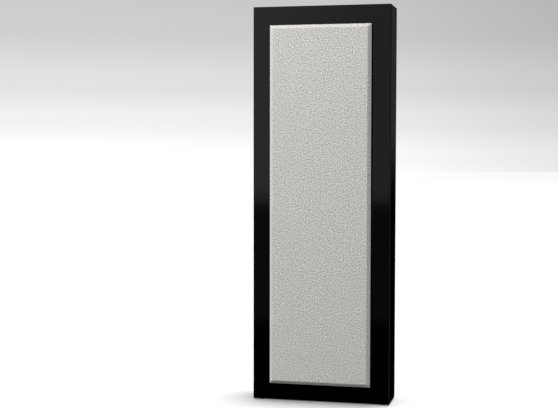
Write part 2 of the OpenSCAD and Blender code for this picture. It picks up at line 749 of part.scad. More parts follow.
// Cloth over the front and bevels, turned in under the bevel's outer edge.
module grille_cloth() color("#c4c3bf") difference() {
    bevelled_block(grille_w, grille_h, y_cloth_edge + groove, y_cloth_edge, grille_bevel);
    bevelled_block(grille_w - 2 * cloth_t + cloth_gap, grille_h - 2 * cloth_t + cloth_gap,
                   y_cloth_edge + groove + over, y_cloth_edge + cloth_fold,
                   grille_bevel - cloth_fold + cloth_gap);
}

// Push-in pegs: a tail in the frame and a bulb in the baffle's socket.
module grille_pegs() color("#202020")
    for (x = peg_xs, z = peg_zs) on_baffle(x, z) revolve([
        [0, -grille_gap - peg_tail_l], [peg_r, -grille_gap - peg_tail_l], [peg_r, peg_neck_l],
        [peg_bulb_r, peg_bulb_l[0]], [peg_bulb_r, peg_bulb_l[1]], [peg_tip_r, peg_l], [0, peg_l]
    ]);

module peg_sockets() color("#2a2a2a")
    for (x = peg_xs, z = peg_zs) on_baffle(x, z) revolve([
        [peg_hole_r, 0], [peg_flange_r, 0], [peg_flange_r, peg_flange_t],
        [peg_socket_r, peg_flange_t], [peg_socket_r, peg_socket_l], [0, peg_socket_l],
        [0, peg_socket_l - peg_socket_end], [peg_hole_r, peg_socket_l - peg_socket_end]
    ]);

// ---------------------------------------------------------------- rear fittings

// The cup's inside, grown by a margin in X and Z.
module cup_block(margin, y, depth)
    block(cup_w + 2 * margin, cup_h + 2 * margin, y, terminal_z, depth);

module terminal_cup() color("#161616") {
    difference() {
        union() {
            cup_block(cup_flange, y_back - cup_flange_t, cup_flange_t);
            cup_block(cup_wall, cup_floor_y - cup_wall, cup_d);
        }
        cup_block(0, cup_floor_y, cup_d + over);
        for (x = post_xs) on_rear(x, cup_floor_y - cup_wall - over, terminal_z)
            cylinder(r = stud_r + gap, h = cup_wall + 2 * over);
        for (x = [-1, 1] * cup_screw_x, z = [-1, 1] * cup_screw_z)
            on_rear(x, y_back, terminal_z + z) rear_screw_hole();
    }
    polarity_marks();
}

// A raised plus above the red post and a minus above the black one.
module polarity_marks() {
    for (x = post_xs) translate([x, 0, 0])
        block(mark_l, mark_w, cup_floor_y - eps, terminal_z + mark_rise, mark_t + eps);
    translate([post_xs[0], 0, 0])
        block(mark_w, mark_l, cup_floor_y - eps, terminal_z + mark_rise, mark_t + eps);
}

// Threaded stud with a base collar, an axial socket and a cross hole for bare wire.
module post_studs() color("gold") for (x = post_xs) on_rear(x, cup_floor_y, terminal_z)
    difference() {
        union() {
            translate([0, 0, -cup_wall - stud_in])
                cylinder(r = stud_r, h = cup_wall + stud_in + stud_out);
            cylinder(r = post_base_r, h = post_base_t);
        }
        translate([0, 0, stud_out - stud_bore_l]) cylinder(r = socket_r, h = stud_bore_l + over);
        translate([0, -stud_r - over, wire_hole_w]) rotate([-90, 0, 0])
            cylinder(r = wire_hole_r, h = 2 * (stud_r + over));
    }

// Hexagon nuts with solder tags, inside the cabinet.
module post_nuts() color("silver") for (x = post_xs) on_rear(x, cup_floor_y - cup_wall, terminal_z)
    difference() {
        union() {
            translate([0, 0, -tag_t - nut_t]) cylinder(r = nut_r, h = nut_t, $fn = hexagon);
            translate([-tag_w / 2, -tag_rise, -tag_t]) cube([tag_w, tag_rise + tag_w / 2, tag_t]);
        }
        translate([0, 0, -tag_t - nut_t - over])
            cylinder(r = stud_r + gap, h = tag_t + nut_t + 2 * over);
    }

// Brass insert that runs on the stud's thread.
module post_insert(x) color("gold") on_rear(x, cup_floor_y, terminal_z)
    ring(stud_r + gap, insert_r, insert_w, insert_w + insert_l);

// Fluted grip around the insert. The end of the stud shows in its middle.
module post_knob(x, tint) color(tint) on_rear(x, cup_floor_y, terminal_z) difference() {
    translate([0, 0, knob_w]) union() {
        cylinder(r = knob_skirt_r, h = knob_skirt_t);
        translate([0, 0, knob_skirt_t]) cylinder(r = knob_r, h = knob_l);
        translate([0, 0, knob_skirt_t + knob_l])
            cylinder(r1 = knob_r, r2 = knob_r - knob_cap_t, h = knob_cap_t);
    }
    cylinder(r = insert_r + gap, h = insert_w + insert_l + gap);
    cylinder(r = knob_bore_r, h = 2 * stud_out);
    around(knob_grooves, knob_r + knob_groove_out) translate([0, 0, knob_groove_w])
        cylinder(r = knob_groove_r, h = knob_l + knob_cap_t);
}

module keyhole_plates() color("silver")
    for (x = [-1, 1] * keyhole_pitch / 2) on_rear(x, y_back - keyhole_plate_t, keyhole_z)
        difference() {
            translate([-keyhole_plate_w / 2, -keyhole_plate_h / 2, 0])
                cube([keyhole_plate_w, keyhole_plate_h, keyhole_plate_t]);
            translate([0, 0, -over]) cylinder(r = keyhole_r, h = keyhole_plate_t + 2 * over);
            translate([-keyhole_slot_r, -keyhole_rise, -over])
                cube([2 * keyhole_slot_r, keyhole_rise, keyhole_plate_t + 2 * over]);
            translate([0, -keyhole_rise, -over])
                cylinder(r = keyhole_slot_r, h = keyhole_plate_t + 2 * over);
            for (s = [-1, 1] * keyhole_screw_x) translate([s, 0, keyhole_plate_t]) rear_screw_hole();
        }

// Screws that hold the terminal cup and the keyhole plates.
module panel_screws() color("#303030") {
    for (x = [-1, 1] * cup_screw_x, z = [-1, 1] * cup_screw_z)
        on_rear(x, y_back, terminal_z + z) rear_screw();
    for (x = [-1, 1] * keyhole_pitch / 2, s = [-1, 1] * keyhole_screw_x)
        on_rear(x + s, y_back, keyhole_z) rear_screw();
}

// Local Z = 0 is the surface that the flat head lies flush with.
module rear_screw() difference() {
    union() {
        translate([0, 0, -rear_head_t])
            cylinder(r1 = rear_screw_r, r2 = rear_head_r, h = rear_head_t);
        translate([0, 0, -rear_screw_l]) cylinder(r = rear_screw_r, h = rear_screw_l - eps);
    }
    translate([0, 0, -rear_head_t * rear_hex_w])
        cylinder(r = rear_head_r * rear_hex_r, h = rear_head_t, $fn = hexagon);
}

module rear_screw_hole() {
    translate([0, 0, -rear_head_t])
        cylinder(r1 = rear_screw_r + gap, r2 = rear_head_r + gap, h = rear_head_t + eps);
    translate([0, 0, -rear_screw_l - over]) cylinder(r = rear_screw_r + gap, h = rear_screw_l);
    cylinder(r = rear_head_r + gap, h = over);
}

// ---------------------------------------------------------------- crossover and wiring

// Local X and Y lie along the board, and local +Z rises from it towards the front.
module on_board(x, z) translate([board_x + x, board_y, board_z + z]) rotate([90, 0, 0]) children();

module crossover_board() color("darkgreen") {
    translate([board_x - board_w / 2, board_y, board_z - board_h / 2])
        cube([board_w, board_t, board_h]);
    for (x = [-1, 1] * (board_w / 2 - board_foot_inset),
         z = [-1, 1] * (board_h / 2 - board_foot_inset))
        translate([board_x + x, y_inner_back, board_z + z]) rotate([90, 0, 0])
            cylinder(r = board_foot_r, h = board_lift + eps);
}

module crossover_coils() color("#b5652b") for (c = coils)
    on_board(c[0], c[1]) ring(coil_core * c[2], c[2], 0, c[3]);

module crossover_capacitors() color("#c7b23a") for (c = capacitors)
    on_board(c[0] - capacitor_l / 2, c[1]) translate([0, 0, c[2]]) rotate([0, 90, 0])
        cylinder(r = c[2], h = capacitor_l);

module crossover_resistors() color("whitesmoke") for (p = resistors)
    on_board(p[0] - resistor_size[0] / 2, p[1] - resistor_size[1] / 2) cube(resistor_size);

function in_place(route) = [for (p = route) [p[0], y_front + p[1], p[2]]];

module internal_wiring() color("#7a2020")
    for (route = concat(input_wires, driver_wires)) tube(in_place(route), wire_r);

// ---------------------------------------------------------------- nodes

front_baffle();
back_panel();
side_panel(-cabinet_w / 2);  // left_side_panel
side_panel(cabinet_w / 2 - wall_t);  // right_side_panel
end_panel(z_top - wall_t);  // top_panel
end_panel(z_bottom);  // bottom_panel
brace(brace_zs[0]);  // brace_lower
brace(brace_zs[1]);  // brace_upper
chamber_divider();
damping_wadding();
bass_port();
rubber_feet();
keyhole_plates();
panel_screws();
driver_screws();
terminal_cup();
post_studs();
post_nuts();
crossover_board();
crossover_coils();
crossover_capacitors();
crossover_resistors();
internal_wiring();
peg_sockets();
basket(woofer, woofer_upper_z);  // woofer_upper_basket
magnet(woofer, woofer_upper_z);  // woofer_upper_magnet
pole_plates(woofer, woofer_upper_z);  // woofer_upper_pole_plates
surround(woofer, woofer_upper_z);  // woofer_upper_surround
spider(woofer, woofer_upper_z);  // woofer_upper_spider
cone(woofer, woofer_upper_z);  // woofer_upper_cone
dust_cap(woofer, woofer_upper_z);  // woofer_upper_dust_cap
voice_coil(woofer, woofer_upper_z);  // woofer_upper_voice_coil
basket(woofer, woofer_lower_z);  // woofer_lower_basket
magnet(woofer, woofer_lower_z);  // woofer_lower_magnet
pole_plates(woofer, woofer_lower_z);  // woofer_lower_pole_plates
surround(woofer, woofer_lower_z);  // woofer_lower_surround
spider(woofer, woofer_lower_z);  // woofer_lower_spider
cone(woofer, woofer_lower_z);  // woofer_lower_cone
dust_cap(woofer, woofer_lower_z);  // woofer_lower_dust_cap
voice_coil(woofer, woofer_lower_z);  // woofer_lower_voice_coil
basket(midrange, midrange_z);  // midrange_basket
magnet(midrange, midrange_z);  // midrange_magnet
pole_plates(midrange, midrange_z);  // midrange_pole_plates
surround(midrange, midrange_z);  // midrange_surround
spider(midrange, midrange_z);  // midrange_spider
cone(midrange, midrange_z);  // midrange_cone
dust_cap(midrange, midrange_z);  // midrange_dust_cap
voice_coil(midrange, midrange_z);  // midrange_voice_coil
tweeter_faceplate();
tweeter_motor();
tweeter_surround();
tweeter_dome();
tweeter_voice_coil();
grille_frame();
grille_cloth();
grille_pegs();
post_insert(post_xs[0]);  // red_post_insert
post_knob(post_xs[0], "firebrick");  // red_post_knob
post_insert(post_xs[1]);  // black_post_insert
post_knob(post_xs[1], "#111111");  // black_post_knob
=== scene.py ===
"""Looks for the slim floorstanding loudspeaker: materials, soft pieces, stage, lights and camera."""
import math

import bmesh
import bpy
import numpy as np
from mathutils import Euler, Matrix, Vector


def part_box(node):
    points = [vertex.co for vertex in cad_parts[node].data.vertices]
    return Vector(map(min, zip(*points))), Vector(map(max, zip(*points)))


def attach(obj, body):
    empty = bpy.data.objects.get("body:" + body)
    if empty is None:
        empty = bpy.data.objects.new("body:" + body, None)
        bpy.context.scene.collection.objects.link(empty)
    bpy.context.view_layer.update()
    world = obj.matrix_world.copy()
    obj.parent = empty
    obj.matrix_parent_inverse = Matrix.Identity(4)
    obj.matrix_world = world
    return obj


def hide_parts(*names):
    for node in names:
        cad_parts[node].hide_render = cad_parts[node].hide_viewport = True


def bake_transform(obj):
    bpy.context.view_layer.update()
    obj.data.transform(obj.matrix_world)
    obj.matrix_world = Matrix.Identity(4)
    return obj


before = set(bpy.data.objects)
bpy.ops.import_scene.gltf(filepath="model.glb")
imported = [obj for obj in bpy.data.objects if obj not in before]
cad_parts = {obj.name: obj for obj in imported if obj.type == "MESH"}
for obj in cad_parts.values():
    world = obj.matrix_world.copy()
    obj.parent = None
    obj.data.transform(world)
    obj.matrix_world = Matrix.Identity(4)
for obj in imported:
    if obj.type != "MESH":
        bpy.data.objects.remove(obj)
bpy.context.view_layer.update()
scene = bpy.context.scene
MM = 0.001

# ------------------------------------------------------------------ places taken from the frame

baffle_low, baffle_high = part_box("front_baffle")
cabinet_h = baffle_high.z - baffle_low.z
CONE_DRIVERS = ("woofer_upper", "woofer_lower", "midrange")


# ------------------------------------------------------------------ material helpers

class Nodes:
    """Short ways to add nodes to a tree. A value is a number, a tuple or another node's output."""

    def __init__(self, tree):
        self.tree = tree

    def add(self, kind, **properties):
        node = self.tree.nodes.new(kind)
        for key, value in properties.items():
            setattr(node, key, value)
        return node

    def link(self, source, target):
        self.tree.links.new(source, target)

    def put(self, socket, value):
        """Links an output to the socket, or sets the socket's own value."""
        if isinstance(value, bpy.types.NodeSocket):
            self.link(value, socket)
        else:
            socket.default_value = value

    def feed(self, node, **inputs):
        """Puts values in a node's inputs by name, with _ for a space."""
        for key, value in inputs.items():
            self.put(node.inputs[key.replace("_", " ")], value)
        return node

    def math(self, operation, a, b=0.0):
        node = self.add("ShaderNodeMath", operation=operation)
        self.put(node.inputs[0], a)
        self.put(node.inputs[1], b)
        return node.outputs[0]

    def span(self, value, low, high, out_low=0.0, out_high=1.0):
        """Maps low to high onto out_low to out_high, and stops at both ends."""
        node = self.add("ShaderNodeMapRange")
        self.feed(node, Value=value, From_Min=low, From_Max=high, To_Min=out_low, To_Max=out_high)
        return node.outputs[0]

    def ramp(self, value, stops, interpolation="LINEAR"):
        """Colours by value, from stops of a position and a colour or a grey level."""
        node = self.add("ShaderNodeValToRGB")
        node.color_ramp.interpolation = interpolation
        points = node.color_ramp.elements
        while len(points) < len(stops):
            points.new(0.5)
        for point, (position, color) in zip(points, stops):
            point.position = position
            point.color = (*color, 1.0) if hasattr(color, "__len__") else (color, color, color, 1.0)
        self.link(value, node.inputs[0])
        return node.outputs[0]

    def mix(self, share, a, b, blend="MIX"):
        """Colour a with a share of colour b."""
        node = self.add("ShaderNodeMix", data_type="RGBA", blend_type=blend)
        for index, value in ((0, share), (6, a), (7, b)):
            self.put(node.inputs[index], (*value, 1.0) if isinstance(value, tuple) else value)
        return node.outputs[2]


class Material(Nodes):
    """A node material with a Principled shader."""

    def __init__(self, name, color, roughness, metallic=0.0, **sockets):
        self.material = bpy.data.materials.new(name)
        self.material.use_nodes = True
        super().__init__(self.material.node_tree)
        self.shader = self.tree.nodes["Principled BSDF"]
        self.set("Base Color", (*color, 1.0))
        self.set("Roughness", roughness)
        self.set("Metallic", metallic)
        for socket, value in sockets.items():
            self.set(socket.replace("_", " "), value)
        self.material.diffuse_color = (*color, 1.0)
        self.place = self.add("ShaderNodeTexCoord").outputs["Object"]

    def set(self, socket, value):
        self.shader.inputs[socket].default_value = value

    def noise(self, size, detail=2.0, rough=0.5, stretch=(1, 1, 1)):
        """Noise from 0 to 1 whose blobs are about size metres across."""
        where = self.add("ShaderNodeMapping")
        self.feed(where, Vector=self.place, Scale=tuple(1 / s for s in stretch))
        node = self.add("ShaderNodeTexNoise")
        self.feed(node, Vector=where.outputs[0], Scale=0.5 / size, Detail=detail, Roughness=rough)
        return node.outputs["Fac"]

    def axis(self, name):
        split = self.add("ShaderNodeSeparateXYZ")
        self.link(self.place, split.inputs[0])
        return split.outputs[name]

    def color(self, value):
        self.link(value, self.shader.inputs["Base Color"])

    def roughness(self, value):
        self.link(value, self.shader.inputs["Roughness"])

    def bump(self, height, depth):
        """Height from 0 to 1 as a bump that deep, in metres. Later bumps go on top of earlier ones."""
        node = self.add("ShaderNodeBump")
        self.feed(node, Height=height, Distance=depth, Strength=1.0)
        normal = self.shader.inputs["Normal"]
        if normal.links:
            self.link(normal.links[0].from_socket, node.inputs["Normal"])
        self.link(node.outputs[0], normal)


def dress(material, *nodes):
    """Gives CAD nodes a material in place of the flat one they come with."""
    for name in nodes:
        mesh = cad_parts[name].data
        mesh.materials.clear()
        mesh.materials.append(material.material)


# ------------------------------------------------------------------ materials

def lacquer():
    """Polished black lacquer: a faint orange peel and fine polishing haze."""
    m = Material("black_lacquer", (0.0003, 0.0003, 0.00035), 0.03, IOR=1.5)
    m.roughness(m.span(m.noise(0.06, 4.0), 0.3, 0.8, 0.02, 0.05))
    m.bump(m.noise(0.007, 1.0), 0.000003)
    return m


def satin_black():
    """Textured satin paint on the back panel."""
    m = Material("satin_black", (0.012, 0.012, 0.013), 0.38, IOR=1.5)
    grain = m.noise(0.0008, 3.0, 0.6)
    m.color(m.ramp(m.noise(0.05, 4.0), [(0.3, (0.010, 0.010, 0.011)), (0.75, (0.017, 0.017, 0.018))]))
    m.roughness(m.span(m.noise(0.03, 3.0), 0.2, 0.8, 0.32, 0.46))
    m.bump(grain, 0.00012)
    return m


def moulded(name, color, roughness=0.45, grain=0.0006, depth=0.00006):
    """Spark-eroded plastic with slightly uneven gloss."""
    m = Material(name, color, roughness)
    pale = tuple(1.35 * c + 0.002 for c in color)
    m.color(m.mix(m.span(m.noise(0.012, 3.0), 0.35, 0.7, 0.0, 1.0), color, pale))
    m.roughness(m.span(m.noise(0.02, 3.0), 0.2, 0.8, roughness - 0.07, roughness + 0.08))
    m.bump(m.noise(grain, 2.0, 0.6), depth)
    return m


def rubber(name, color=(0.012, 0.012, 0.0125), roughness=0.55):
    """Matt rubber with dusty patches."""
    m = Material(name, color, roughness, IOR=1.46)
    m.color(m.mix(m.span(m.noise(0.01, 5.0), 0.4, 0.75, 0.0, 1.0), color, (0.026, 0.026, 0.025)))
    m.roughness(m.span(m.noise(0.006, 4.0), 0.2, 0.8, roughness - 0.08, roughness + 0.1))
    m.bump(m.noise(0.0007, 3.0), 0.00003)
    return m


def metal(name, color, roughness, brushed=1.0):
    """Plated metal, with its marks drawn out along X by brushed."""
    m = Material(name, color, roughness, metallic=1.0)
    marks = m.noise(0.002, 4.0, 0.65, stretch=(brushed, 1, 1))
    m.color(m.mix(m.span(marks, 0.3, 0.7, 0.0, 1.0), tuple(0.8 * c for c in color), color))
    m.roughness(m.span(marks, 0.25, 0.75, roughness * 0.75, roughness * 1.4))
    m.bump(marks, 0.00001)
    return m


def plywood():
    """Birch plywood: long grain along X and thin darker plies."""
    m = Material("birch_plywood", (0.55, 0.38, 0.22), 0.6)
    rings = m.noise(0.006, 5.0, 0.6, stretch=(14, 1, 1))
    tint = m.ramp(rings, [(0.25, (0.40, 0.25, 0.13)), (0.5, (0.58, 0.41, 0.24)),
                          (0.8, (0.68, 0.52, 0.33))])
    plies = m.math("SINE", m.math("MULTIPLY", m.axis("Z"), 2 * math.pi / 0.0026))
    m.color(m.mix(m.span(plies, 0.2, 0.9, 0.0, 0.35), tint, (0.30, 0.18, 0.09)))
    m.bump(rings, 0.0001)
    return m


def wool():
    """White polyester fibre."""
    m = Material("polyester_wool", (0.7, 0.7, 0.68), 0.95, Sheen_Weight=0.4)
    m.color(m.ramp(m.noise(0.012, 6.0, 0.7), [(0.3, (0.55, 0.55, 0.53)), (0.7, (0.82, 0.82, 0.80))]))
    m.bump(m.noise(0.004, 6.0, 0.8), 0.002)
    return m


def wire_insulation():
    """Red and black wires, told apart by which wire a face belongs to."""
    m = Material("wire_insulation", (0.20, 0.012, 0.012), 0.4)
    wire = m.add("ShaderNodeNewGeometry").outputs["Random Per Island"]
    m.color(m.ramp(wire, [(0.0, (0.20, 0.012, 0.012)), (0.5, (0.012, 0.012, 0.013))], "CONSTANT"))
    m.roughness(m.span(m.noise(0.008, 3.0), 0.2, 0.8, 0.33, 0.5))
    m.bump(m.noise(0.003, 2.0, stretch=(1, 1, 6)), 0.00005)
    return m


def laminate():
    """Green circuit board with paler copper lands under the mask."""
    m = Material("board_laminate", (0.02, 0.12, 0.05), 0.3, Coat_Weight=0.4)
    lands = m.add("ShaderNodeTexVoronoi", feature="DISTANCE_TO_EDGE")
    m.feed(lands, Vector=m.place, Scale=70.0)
    edge = m.span(lands.outputs["Distance"], 0.05, 0.09, 0.0, 1.0)
    m.color(m.mix(edge, (0.012, 0.075, 0.03), (0.03, 0.17, 0.07)))
    m.bump(edge, 0.00004)
    return m


def winding(name, pitch):
    """Enamelled copper wire laid side by side."""
    m = Material(name, (0.62, 0.25, 0.11), 0.28, metallic=1.0)
    turns = m.math("SINE", m.math("MULTIPLY", m.axis("Y"), 2 * math.pi / pitch))
    # Painted shade: the colour darkens in the grooves between the turns and is palest on their crowns.
    m.color(m.mix(m.span(turns, -1.0, 1.0, 0.0, 1.0), (0.30, 0.10, 0.04), (0.70, 0.30, 0.14)))
    m.bump(m.span(turns, -1.0, 1.0, 0.0, 1.0), 0.0002)
    return m


def film():
    """Yellow film wrap with a darker seam of overlapping turns."""
    m = Material("capacitor_film", (0.58, 0.42, 0.08), 0.22, Coat_Weight=0.6)
    m.color(m.ramp(m.noise(0.006, 4.0, 0.6), [(0.3, (0.45, 0.31, 0.05)), (0.7, (0.66, 0.49, 0.11))]))
    m.bump(m.noise(0.003, 3.0, stretch=(1, 4, 4)), 0.00008)
    return m


def ceramic(name, dark, pale):
    """Fired ceramic or ferrite, speckled between two tones."""
    m = Material(name, pale, 0.75)
    m.color(m.ramp(m.noise(0.0015, 6.0, 0.7), [(0.35, dark), (0.65, pale)]))
    m.roughness(m.span(m.noise(0.004, 4.0), 0.3, 0.7, 0.6, 0.85))
    m.bump(m.noise(0.001, 5.0, 0.7), 0.00008)
    return m


def pulp():
    """Black cone paper: pressed fibres that lie every way."""
    m = Material("cone_paper", (0.02, 0.02, 0.022), 0.7)
    fibres = m.noise(0.0035, 6.0, 0.75, stretch=(1, 1, 0.35))
    cross = m.noise(0.0035, 6.0, 0.75, stretch=(0.35, 1, 1))
    both = m.math("MAXIMUM", fibres, cross)
    m.color(m.ramp(both, [(0.4, (0.012, 0.012, 0.013)), (0.62, (0.028, 0.028, 0.03)),
                          (0.78, (0.07, 0.07, 0.072))]))
    m.roughness(m.span(both, 0.3, 0.8, 0.6, 0.8))
    m.bump(both, 0.00025)
    return m


def weave(m, across, along, pitch):
    """A plain weave in two coordinates: its height from 0 to 1, and 1 where the warp lies over."""
    u = m.math("MULTIPLY", across, 1 / pitch)
    v = m.math("MULTIPLY", along, 1 / pitch)
    cell = m.math("ADD", m.math("FLOOR", u), m.math("FLOOR", v))
    weft_over = m.math("MODULO", m.math("ABSOLUTE", cell), 2.0)
    warp_over = m.math("SUBTRACT", 1.0, weft_over)
    hump_u = m.math("SINE", m.math("MULTIPLY", m.math("FRACT", u), math.pi))
    hump_v = m.math("SINE", m.math("MULTIPLY", m.math("FRACT", v), math.pi))
    warp = m.math("MULTIPLY", hump_u, m.math("POWER", hump_v, 0.4))
    weft = m.math("MULTIPLY", hump_v, m.math("POWER", hump_u, 0.4))
    height = m.math("ADD", m.math("MULTIPLY", warp, warp_over), m.math("MULTIPLY", weft, weft_over))
    return height, warp_over


def coated_silk():
    """Fine black woven silk under a soft coating."""
    m = Material("coated_silk", (0.014, 0.014, 0.016), 0.42, Sheen_Weight=0.2)
    threads, _ = weave(m, m.axis("X"), m.axis("Z"), 0.0006)
    # Painted shade: the colour darkens from the tops of the threads down into the hollows between them.
    m.color(m.mix(threads, (0.008, 0.008, 0.009), (0.022, 0.022, 0.024)))
    m.bump(threads, 0.00006)
    return m


def dipped_cotton():
    """Yellow-brown cotton cloth stiffened with resin."""
    m = Material("dipped_cotton", (0.55, 0.36, 0.13), 0.6)
    threads, _ = weave(m, m.axis("X"), m.axis("Z"), 0.0009)
    # Painted shade: the colour darkens from the tops of the threads down into the hollows between them.
    m.color(m.mix(threads, (0.34, 0.20, 0.06), (0.66, 0.45, 0.18)))
    m.bump(threads, 0.0001)
    return m


def grille_fabric():
    """Light warm grey cloth. Each melange yarn varies in tone, for a fine salt-and-pepper grain.
    Painted shade darkens the hollows between the threads.
    """
    m = Material("grille_fabric", (0.62, 0.61, 0.585), 0.9, Sheen_Weight=0.15)
    m.place = m.add("ShaderNodeAttribute", attribute_name="flat_cloth").outputs["Vector"]
    pitch = 0.0015
    threads, warp_over = weave(m, m.axis("X"), m.axis("Y"), pitch)
    warp = m.noise(pitch / 2, 1.0, stretch=(1, 2.5, 1))
    weft = m.noise(pitch / 2, 1.0, stretch=(2.5, 1, 1))
    yarn = m.math("ADD", m.math("MULTIPLY", warp, warp_over),
                  m.math("MULTIPLY", weft, m.math("SUBTRACT", 1.0, warp_over)))
    fleck = m.noise(0.0013, 0.0)
    tone = m.math("ADD", m.math("MULTIPLY", yarn, 0.4), m.math("MULTIPLY", fleck, 0.6))
    grey = m.ramp(tone, [(0.30, (0.116, 0.114, 0.108)), (0.5, (0.518, 0.512, 0.494)),
                         (0.70, (0.930, 0.921, 0.896))])
    # Painted shade: the colour darkens down into the hollows between the threads, where the weave is
    # low.
    m.color(m.mix(m.span(threads, 0.1, 0.7, 0.30, 0.0), grey, (0.165, 0.161, 0.154)))
    m.bump(threads, 0.00035)
    m.bump(fleck, 0.0002)
    return m


BLACK = (0.012, 0.012, 0.013)
LACQUERED = ("front_baffle", "left_side_panel", "right_side_panel", "top_panel", "bottom_panel")
dress(lacquer(), *LACQUERED)
dress(satin_black(), "back_panel")
dress(plywood(), "brace_lower", "brace_upper", "chamber_divider")
dress(moulded("port_plastic", BLACK, 0.4), "bass_port")
dress(rubber("foot_rubber"), "rubber_feet")
dress(metal("zinc_steel", (0.62, 0.62, 0.60), 0.3, brushed=5.0), "keyhole_plates", "post_nuts")
dress(metal("black_steel", (0.035, 0.035, 0.038), 0.35), "panel_screws", "driver_screws")
dress(moulded("cup_plastic", BLACK, 0.5, grain=0.0009, depth=0.0001), "terminal_cup")
dress(metal("gold_plate", (0.83, 0.58, 0.24), 0.2),
      "post_studs", "red_post_insert", "black_post_insert")
dress(laminate(), "crossover_board")
dress(winding("coil_copper", 0.0012), "crossover_coils")
dress(film(), "crossover_capacitors")
dress(ceramic("resistor_ceramic", (0.58, 0.57, 0.53), (0.78, 0.77, 0.73)), "crossover_resistors")
dress(wire_insulation(), "internal_wiring")
dress(moulded("socket_nylon", (0.016, 0.016, 0.016), 0.42), "peg_sockets", "grille_pegs")
dress(moulded("faceplate_plastic", (0.010, 0.010, 0.011), 0.38, grain=0.0004), "tweeter_faceplate")
ferrite = ceramic("ferrite", (0.035, 0.035, 0.038), (0.075, 0.075, 0.08))
dress(ferrite, "tweeter_motor")
dome_silk = coated_silk()
dress(dome_silk, "tweeter_dome")
coil_wire = winding("voice_coil_copper", 0.0004)
dress(coil_wire, "tweeter_voice_coil")
dress(moulded("frame_plastic", (0.008, 0.008, 0.0085), 0.6, grain=0.0012, depth=0.00015),
      "grille_frame")
dress(moulded("knob_red", (0.42, 0.012, 0.012), 0.2, grain=0.002, depth=0.00001), "red_post_knob")
dress(moulded("knob_black", BLACK, 0.2, grain=0.002, depth=0.00001), "black_post_knob")
cone_paper, cap_plastic = pulp(), moulded("dust_cap_plastic", (0.014, 0.014, 0.015), 0.3)
powder_coat = moulded("powder_coat", (0.016, 0.016, 0.017), 0.5, grain=0.0010, depth=0.0002)
pole_steel = metal("pole_steel", (0.55, 0.55, 0.54), 0.35)
for driver in CONE_DRIVERS:
    dress(powder_coat, driver + "_basket")
    dress(pole_steel, driver + "_pole_plates")
    dress(cone_paper, driver + "_cone")
    dress(cap_plastic, driver + "_dust_cap")
    dress(ferrite, driver + "_magnet")
    dress(coil_wire, driver + "_voice_coil")


# ------------------------------------------------------------------ mesh helpers

def make_piece(name, vertices, faces, material):
    """A smooth-shaded object from vertices and faces."""
    mesh = bpy.data.meshes.new(name)
    mesh.from_pydata([tuple(v) for v in vertices], [], faces)
    mesh.polygons.foreach_set("use_smooth", [True] * len(mesh.polygons))
    mesh.update()
    piece = bpy.data.objects.new(name, mesh)
    scene.collection.objects.link(piece)
    mesh.materials.append(material.material)
    return piece


def ring_part(name, pairs, centre, middle, half, steps, material):
    """Part of a ring round a line along Y through centre (x, z), with closed ends. Its section is
    given by pairs of a front and a back point, each as (radius, y)."""
    vertices, faces, count = [], [], len(pairs)
    for i in range(steps + 1):
        a = middle - half + 2 * half * i / steps
        for pair in pairs:
            vertices += [(centre[0] + r * math.cos(a), y, centre[1] + r * math.sin(a)) for r, y in pair]

    def at(i, k, side):
        return 2 * (i * count + k) + side

    for i in range(steps):
        for side in (0, 1):
            faces += [(at(i, k, side), at(i + 1, k, side), at(i + 1, k + 1, side), at(i, k + 1, side))
                      for k in range(count - 1)]
        faces += [(at(i, k, 0), at(i, k, 1), at(i + 1, k, 1), at(i + 1, k, 0)) for k in (0, count - 1)]
    faces += [(at(i, k, 0), at(i, k + 1, 0), at(i, k + 1, 1), at(i, k, 1))
              for i in (0, steps) for k in range(count - 1)]
    return close_piece(make_piece(name, vertices, faces, material))


def close_piece(piece):
    """Joins points in one place, turns all faces outwards and keeps hard corners sharp."""
    mesh = bmesh.new()
    mesh.from_mesh(piece.data)
    bmesh.ops.remove_doubles(mesh, verts=mesh.verts, dist=1e-7)
    bmesh.ops.recalc_face_normals(mesh, faces=mesh.faces)
    mesh.to_mesh(piece.data)
    mesh.free()
    piece.data.set_sharp_from_angle(angle=math.radians(50))
    return piece


def shade_round(piece, centre):
    """Takes the sideways lean out of a ring part's normals, so that it shades as one with the next."""
    mesh = piece.data
    places = np.empty(3 * len(mesh.vertices))
    corners = np.empty(len(mesh.loops), int)
    normals = np.empty(3 * len(mesh.loops))
    mesh.vertices.foreach_get("co", places)
    mesh.loops.foreach_get("vertex_index", corners)
    mesh.corner_normals.foreach_get("vector", normals)
    out = places.reshape(-1, 3)[corners] - (centre[0], 0.0, centre[1])
    sideways = np.stack([-out[:, 2], np.zeros(len(out)), out[:, 0]], 1)
    sideways /= np.linalg.norm(sideways, axis=1)[:, None]
    normals = normals.reshape(-1, 3)
    lean = (normals * sideways).sum(1)
    lean[np.abs(lean) > 0.5] = 0.0
    mesh.normals_split_custom_set(normals - lean[:, None] * sideways)


def arc(centre_r, centre_y, radius, start, end, steps):
    """Points of an arc in (radius, y), with angles in degrees."""
    angles = [math.radians(start + (end - start) * i / steps) for i in range(steps + 1)]
    return [(centre_r + radius * math.cos(a), centre_y + radius * math.sin(a)) for a in angles]


# ------------------------------------------------------------------ grille cloth

CLOTH_BEVEL = 9.4 * MM
CLOTH_GROOVE = 1.5 * MM
CLOTH_FOLD = 1.6 * MM
CLOTH_COLUMNS, CLOTH_ROWS = 60, 208
BEVEL_ANGLE = math.radians(45)
FOLD_POINTS = 6


